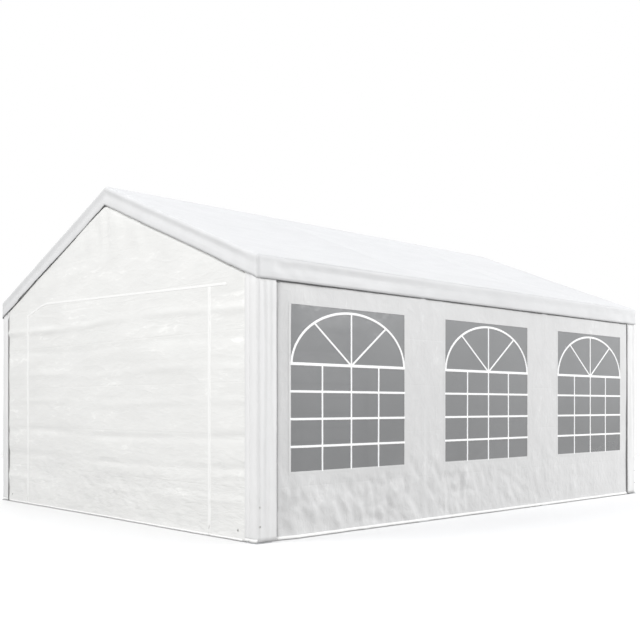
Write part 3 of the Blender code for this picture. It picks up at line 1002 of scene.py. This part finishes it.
def slider(shape, place, end):
    """A zip's slider with its pull tab."""
    out = Vector((0, end, 0))
    rings = []
    for z, half in ((-0.016, 0.0045), (-0.008, 0.0065), (0.010, 0.0065), (0.016, 0.0085)):
        corners = [(-half, 0), (-half, 0.004), (-half * 0.6, 0.0062)]
        corners += [(half * 0.6, 0.0062), (half, 0.004), (half, 0)]
        rings.append([shape.verts.new(place + Vector((a, 0, z)) + out * b) for a, b in corners])
    join_rings(shape, rings)
    up = Vector((0, 0, 1))
    tab = [place + out * (0.0075 + 0.0015 * step) - up * (0.004 + 0.012 * step) for step in range(4)]
    ribbon(shape, tab, (0, end, 0), [0.005, 0.007, 0.009, 0.008], 0.002)


def make_gable_seams(name, end, cloth):
    """The raised welt across the gable, coloured as the lighter zip tape to paint the crease's highlight, and
    the flat lap of the gable sheet over the door's top.
    """
    welt = bmesh.new()
    lap = bmesh.new()
    path = [(-1.652, 2.052), (-1.53, 2.082), (-1.34, 2.128), (-1.226, 2.148), (0.3, 2.104), (1.905, 2.054)]
    gable_strip(welt, [(-end * x, z) for x, z in path], end, cloth, 0.02, 0.0032)
    gable_strip(lap, [(-DOOR_HALF, DOOR_TOP), (DOOR_HALF, DOOR_TOP)], end, cloth, 0.03, 0.0008)
    return (
        # The welt's lighter zip tape colour is a painted highlight along the crease
        finish_shape(f"gable_welt_{name}", welt, plastic("zip_tape")),
        finish_shape(f"door_lap_{name}", lap, sheeting("gable", cloth)),
    )


def standing(facing):
    """The turn that stands a shape on a surface that faces that way."""
    return Vector(facing).to_track_quat("Z", "Y").to_matrix()


def lathe(shape, place, facing, profile, segments):
    """A turned ring or head; the profile holds (radius, height) pairs from its inner foot round."""
    out = Vector(facing)
    turn = standing(facing)
    rings = []
    for step in range(segments):
        angle = 2 * math.pi * step / segments
        way = turn @ Vector((math.cos(angle), math.sin(angle), 0))
        rings.append([shape.verts.new(place + way * radius + out * height) for radius, height in profile])
    join_rings(shape, rings, closed=True)


def prism(shape, place, facing, sides, low_radius, high_radius, depth):
    """A closed cone or prism whose middle lies at a place."""
    spot = Matrix.Translation(place) @ standing(facing).to_4x4()
    bmesh.ops.create_cone(shape, cap_ends=True, segments=sides, radius1=low_radius, radius2=high_radius,
                          depth=depth, matrix=spot)


def eyelets(name, places, facing, fitting):
    """Rolled metal rings at some places, each round a dark disc that paints the shade in its hole."""
    r = fitting.eyelet_radius
    profile = [(0.45 * r, 0.0), (0.45 * r, 0.0018), (0.58 * r, 0.003)]
    profile += [(0.78 * r, 0.003), (r, 0.0012), (r, 0.0)]
    rings = bmesh.new()
    hole_shades = bmesh.new()
    for place in places:
        lathe(rings, Vector(place), facing, profile, 24)
        prism(hole_shades, Vector(place) + Vector(facing) * 0.0002, facing, 24, 0.46 * r, 0.46 * r, 0.0012)
    return (
        finish_shape(f"{name}_rings", rings, plated_metal()),
        finish_shape(f"{name}_holes", hole_shades, plastic("dark_gap")),
    )


def screw(shape, place, facing):
    """A hexagon screw on its washer."""
    out = Vector(facing).normalized()
    washer = [(0.0035, 0), (0.0035, 0.0024), (0.0095, 0.0024), (0.0105, 0.0012), (0.0105, 0)]
    lathe(shape, place - out * 0.001, out, washer, 20)
    for radius, top, depth in ((0.0072, 0.0068, 0.0056), (0.0060, 0.0076, 0.0010)):
        prism(shape, place + out * (top - depth / 2), out, 6, radius, radius * 0.93, depth)


def make_screws(side_name, side):
    """The screws that clamp the tubes in the eave fittings and the ridge fittings on one side."""
    shape = bmesh.new()
    away = 0.105
    away_up_slope = 0.11
    out_of_slope = Vector((-side * math.sin(SLOPE), 0, -math.cos(SLOPE)))
    up_slope = Vector((-side * math.cos(SLOPE), 0, math.sin(SLOPE)))
    inwards = (-side, 0, 0)
    for y in FRAME_LINES:
        joint = Vector((side * POST_X, y, EAVE_JOINT))
        screw(shape, joint + Vector((-side * TUBE_RADIUS, 0, -away)), inwards)
        screw(shape, joint + up_slope * away_up_slope + out_of_slope * TUBE_RADIUS, out_of_slope)
        for turn in (-1, 1):
            if abs(y + turn * away) < HALF_LENGTH:
                screw(shape, joint + Vector((-side * TUBE_RADIUS, turn * away, 0)), inwards)
        ridge = Vector((0, y, RIDGE_JOINT))
        screw(shape, ridge - up_slope * away_up_slope + out_of_slope * TUBE_RADIUS, out_of_slope)
    return finish_shape(f"frame_screws_{side_name}", shape, plated_metal())


def make_ties(side_name, side, cloth):
    """Elastic loops with balls that tie a long wall's top edge to the eave tube."""
    cords = bmesh.new()
    balls = bmesh.new()
    hole = WALL_TOP - 0.014
    crown = EAVE_JOINT + TUBE_RADIUS + 0.0035
    foot = hole - 0.012
    half_wide = TUBE_RADIUS + 0.004
    for y in np.arange(-2.6, 2.61, 0.4):
        if from_frames(y) < 0.16:
            continue
        edge = side_wall_points(np.array([y]), np.array([hole]), side, cloth, -0.0035)[0][0]
        centre = Vector((side * POST_X, y, (crown + foot) / 2))
        path = []
        for step in range(24):
            across = math.sin(2 * math.pi * step / 24)
            above = math.cos(2 * math.pi * step / 24)
            offset = (side * half_wide * across, 0.004 * across, (crown - foot) / 2 * above)
            point = centre + Vector(offset)
            if point.z < EAVE_JOINT - TUBE_RADIUS and (point.x - edge) * side > -0.001:
                point.x = edge - side * 0.001
            path.append(point)
        cord_ring(cords, path, 0.0018)
        ball = Matrix.Translation(Vector((edge - side * 0.014, y, hole - 0.016)))
        bmesh.ops.create_uvsphere(balls, u_segments=16, v_segments=10, radius=0.0115, matrix=ball)
    return (
        finish_shape(f"tie_cords_{side_name}", cords, plastic("white_moulding")),
        finish_shape(f"tie_balls_{side_name}", balls, plastic("white_moulding")),
    )


def cord_ring(shape, path, radius):
    """A closed loop of thin cord."""
    rings = []
    turns = [math.pi * step / 3 for step in range(6)]
    for index, point in enumerate(path):
        ahead = (path[(index + 1) % len(path)] - path[index - 1]).normalized()
        side = ahead.cross(Vector((0, 1, 0.01))).normalized()
        over = ahead.cross(side)
        rings.append([
            shape.verts.new(point + side * radius * math.cos(turn) + over * radius * math.sin(turn))
            for turn in turns
        ])
    join_rings(shape, rings, closed=True)


def put(item, slot, *nodes):
    """Rides on the tent's one body and stands for CAD nodes, which it hides; slot is not used."""
    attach(item, "root")
    if nodes:
        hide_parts(*nodes)


def put_eyelets(name, places, facing, fitting):
    """Eyelets with their metal, and a dark disc in each hole that paints its shade."""
    rings, hole_shades = eyelets(name, places, facing, fitting)
    put(rings, "frame_steel")
    put(hole_shades, "wall_cloth")


class MARQUEE_OT_roof(bpy.types.Operator):
    """Lay the roof sheet with its valances over the frame"""

    bl_idname = "marquee.roof"
    bl_label = "Roof Sheet"

    def execute(self, context):
        roof = make_roof(context.scene.marquee.cloth)
        put(roof, "roof_cloth", "roof_cover")
        return {"FINISHED"}


class MARQUEE_OT_windows(bpy.types.Operator):
    """Make each window's clear film with its bars and border"""

    bl_idname = "marquee.windows"
    bl_label = "Windows"

    def execute(self, context):
        cloth = context.scene.marquee.cloth
        window = context.scene.marquee.window
        for side_name, side in SIDES:
            for number in WINDOW_NUMBERS:
                place = f"{side_name}_{number}"
                film = make_film(f"clear_film_{place}", number, side, cloth, window)
                put(film, "window_film", f"window_film_{place}")
                put(make_bars(f"window_bars_{place}", number, side, cloth, window), "wall_cloth")
                put(make_window_border(f"window_border_{place}", number, side, cloth), "wall_cloth")
        return {"FINISHED"}


class MARQUEE_OT_side_walls(bpy.types.Operator):
    """Hang the two long walls round their windows"""

    bl_idname = "marquee.side_walls"
    bl_label = "Side Walls"

    def execute(self, context):
        cloth = context.scene.marquee.cloth
        for name, side in SIDES:
            wall = make_side_wall(f"side_wall_sheet_{name}", side, cloth)
            put(wall, "wall_cloth", f"side_wall_{name}")
            hem = wall_hem(f"side_wall_hem_{name}", side, cloth)
            put(hem, "wall_cloth")
            fitted = [hem]
            for number in WINDOW_NUMBERS:
                fitted += [bpy.data.objects[f"{kind}_{name}_{number}"]
                           for kind in ("clear_film", "window_bars", "window_border")]
            for piece in make_ties(name, side, cloth):
                put(piece, "wall_cloth")
        return {"FINISHED"}


class MARQUEE_OT_gables(bpy.types.Operator):
    """Hang the gable sheets and their doors, with zips, seams and eyelets"""

    bl_idname = "marquee.gables"
    bl_label = "Gables and Doors"

    def execute(self, context):
        cloth = context.scene.marquee.cloth
        fitting = context.scene.marquee.fitting
        eyelet_x = np.array([-2.046, 2.046])
        for name, end in ENDS:
            gable = make_gable(f"gable_sheet_{name}", end, cloth)
            put(gable, "wall_cloth", f"gable_wall_{name}")
            door = make_door(f"door_sheet_{name}", end, cloth)
            put(door, "wall_cloth", f"roll_up_door_{name}")
            welt, lap = make_gable_seams(name, end, cloth)
            tapes, teeth = make_zips(name, end, cloth, fitting)
            door_hem = gable_hem(f"door_hem_{name}", -DOOR_HALF, DOOR_HALF, end, cloth)
            side_hems = [
                gable_hem(f"gable_hem_{name}_left", -SLEEVE_EDGE_X, -DOOR_HALF, end, cloth),
                gable_hem(f"gable_hem_{name}_right", DOOR_HALF, SLEEVE_EDGE_X, end, cloth),
            ]
            for item in (welt, lap, tapes, teeth, door_hem, *side_hems):
                put(item, "wall_cloth")
            places = gable_points(eyelet_x, np.full(2, 0.083), end, cloth, STRIP_BASE)
            put_eyelets(f"gable_eyelets_{name}", places, (0, end, 0), fitting)

        return {"FINISHED"}


class MARQUEE_OT_sleeves(bpy.types.Operator):
    """Wrap the corner legs in their sleeves"""

    bl_idname = "marquee.sleeves"
    bl_label = "Corner Sleeves"

    def execute(self, context):
        cloth = context.scene.marquee.cloth
        fitting = context.scene.marquee.fitting
        eyelet_heights = np.array([0.132, 0.280])
        for end_name, end in ENDS:
            for side_name, side in SIDES:
                place = f"{end_name}_{side_name}"
                sleeve = make_sleeve(f"sleeve_{place}", side, end, cloth)
                put(sleeve, "wall_cloth", f"corner_sleeve_{place}")
                hem = sleeve_hem(f"sleeve_hem_{place}", side, end, cloth)
                put(hem, "wall_cloth")
                places = sleeve_points(np.full(2, -0.032), eyelet_heights, side, end, STRIP_BASE)
                put_eyelets(f"sleeve_eyelets_{place}", places, (side, 0, 0), fitting)
        return {"FINISHED"}


class MARQUEE_OT_steel(bpy.types.Operator):
    """Finish the tubes and fittings of the frame"""

    bl_idname = "marquee.steel"
    bl_label = "Steel Frame"

    def execute(self, context):
        colour = context.scene.marquee.fitting.steel_colour
        steel = material(steel_material, "coated_steel", colour, 0.3, 0.6)
        for name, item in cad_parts.items():
            if name.startswith(("post_", "rafter_", "eave_", "ridge_")):
                for slot in item.material_slots:
                    slot.material = steel
        for name, side in SIDES:
            put(make_screws(name, side), "frame_steel")
        return {"FINISHED"}


class MARQUEE_OT_stage(bpy.types.Operator):
    """Set the camera, the pale floor and the soft light"""

    bl_idname = "marquee.stage"
    bl_label = "Stage"

    def execute(self, context):
        scene = context.scene
        stage = scene.marquee.stage
        scene.view_settings.view_transform = "Standard"
        camera = bpy.data.objects.new("camera", bpy.data.cameras.new("camera"))
        scene.collection.objects.link(camera)
        camera.location = stage.eye
        camera.rotation_euler = (math.pi / 2, 0, stage.heading)
        camera.data.sensor_width = 36
        camera.data.lens = stage.focal_pixels / 640 * 36
        camera.data.shift_y = (stage.horizon - 320) / 640
        camera.data.clip_end = 200
        scene.camera = camera

        world = bpy.data.worlds.new("studio")
        world.use_nodes = True
        tree = world.node_tree
        shown = tree.nodes["Background"]
        shown.inputs["Color"].default_value = (1, 1, 1, 1)
        shown.inputs["Strength"].default_value = stage.sky
        seen = tree.nodes.new("ShaderNodeLightPath")
        for ray, strength in (("Is Glossy Ray", stage.mirrored_sky), ("Is Camera Ray", 1.0)):
            white = tree.nodes.new("ShaderNodeBackground")
            white.inputs["Color"].default_value = (1, 1, 1, 1)
            white.inputs["Strength"].default_value = strength
            mix = tree.nodes.new("ShaderNodeMixShader")
            tree.links.new(seen.outputs[ray], mix.inputs["Fac"])
            tree.links.new(shown.outputs[0], mix.inputs[1])
            tree.links.new(white.outputs[0], mix.inputs[2])
            shown = mix
        tree.links.new(shown.outputs[0], tree.nodes["World Output"].inputs["Surface"])
        scene.world = world

        mesh = bpy.data.meshes.new("floor")
        shape = bmesh.new()
        bmesh.ops.create_circle(shape, cap_ends=True, segments=96, radius=16)
        shape.to_mesh(mesh)
        shape.free()
        floor = new_object("floor", mesh, floor_material("floor"))
        floor.location.z = -0.001
        floor.visible_diffuse = False

        for name, place, aim, size, power, colour in LAMPS:
            lamp = bpy.data.lights.new(name, "AREA")
            lamp.size = size
            lamp.energy = power
            lamp.color = colour
            item = bpy.data.objects.new(name, lamp)
            scene.collection.objects.link(item)
            item.location = place
            item.rotation_euler = (Vector(aim) - Vector(place)).to_track_quat("-Z", "Y").to_euler()
            item.visible_glossy = name in MIRRORED_LAMPS
        return {"FINISHED"}


class MARQUEE_PT_panel(bpy.types.Panel):
    """Everything that builds the tent, in order"""

    bl_idname = "MARQUEE_PT_panel"
    bl_label = "Marquee Tent"
    bl_space_type = "VIEW_3D"
    bl_region_type = "UI"
    bl_category = "Marquee"

    def draw(self, context):
        layout = self.layout
        for group in ("cloth", "window", "fitting", "stage"):
            box = layout.box()
            box.label(text=group.title())
            settings = getattr(context.scene.marquee, group)
            for name in settings.__annotations__:
                box.prop(settings, name)
        for operator in OPERATORS:
            layout.operator(operator.bl_idname)


GROUPS = (ClothSettings, WindowSettings, FittingSettings, StageSettings, TentSettings)
OPERATORS = (
    MARQUEE_OT_roof,
    MARQUEE_OT_windows,
    MARQUEE_OT_side_walls,
    MARQUEE_OT_gables,
    MARQUEE_OT_sleeves,
    MARQUEE_OT_steel,
    MARQUEE_OT_stage,
)


def register():
    for item in (*GROUPS, *OPERATORS, MARQUEE_PT_panel):
        bpy.utils.register_class(item)
    bpy.types.Scene.marquee = bpy.props.PointerProperty(type=TentSettings)


def unregister():
    del bpy.types.Scene.marquee
    for item in reversed((*GROUPS, *OPERATORS, MARQUEE_PT_panel)):
        bpy.utils.unregister_class(item)


def main():
    register()
    bpy.ops.marquee.roof()
    bpy.ops.marquee.windows()
    bpy.ops.marquee.side_walls()
    bpy.ops.marquee.gables()
    bpy.ops.marquee.sleeves()
    bpy.ops.marquee.steel()
    bpy.ops.marquee.stage()


if __name__ == "__main__":
    main()
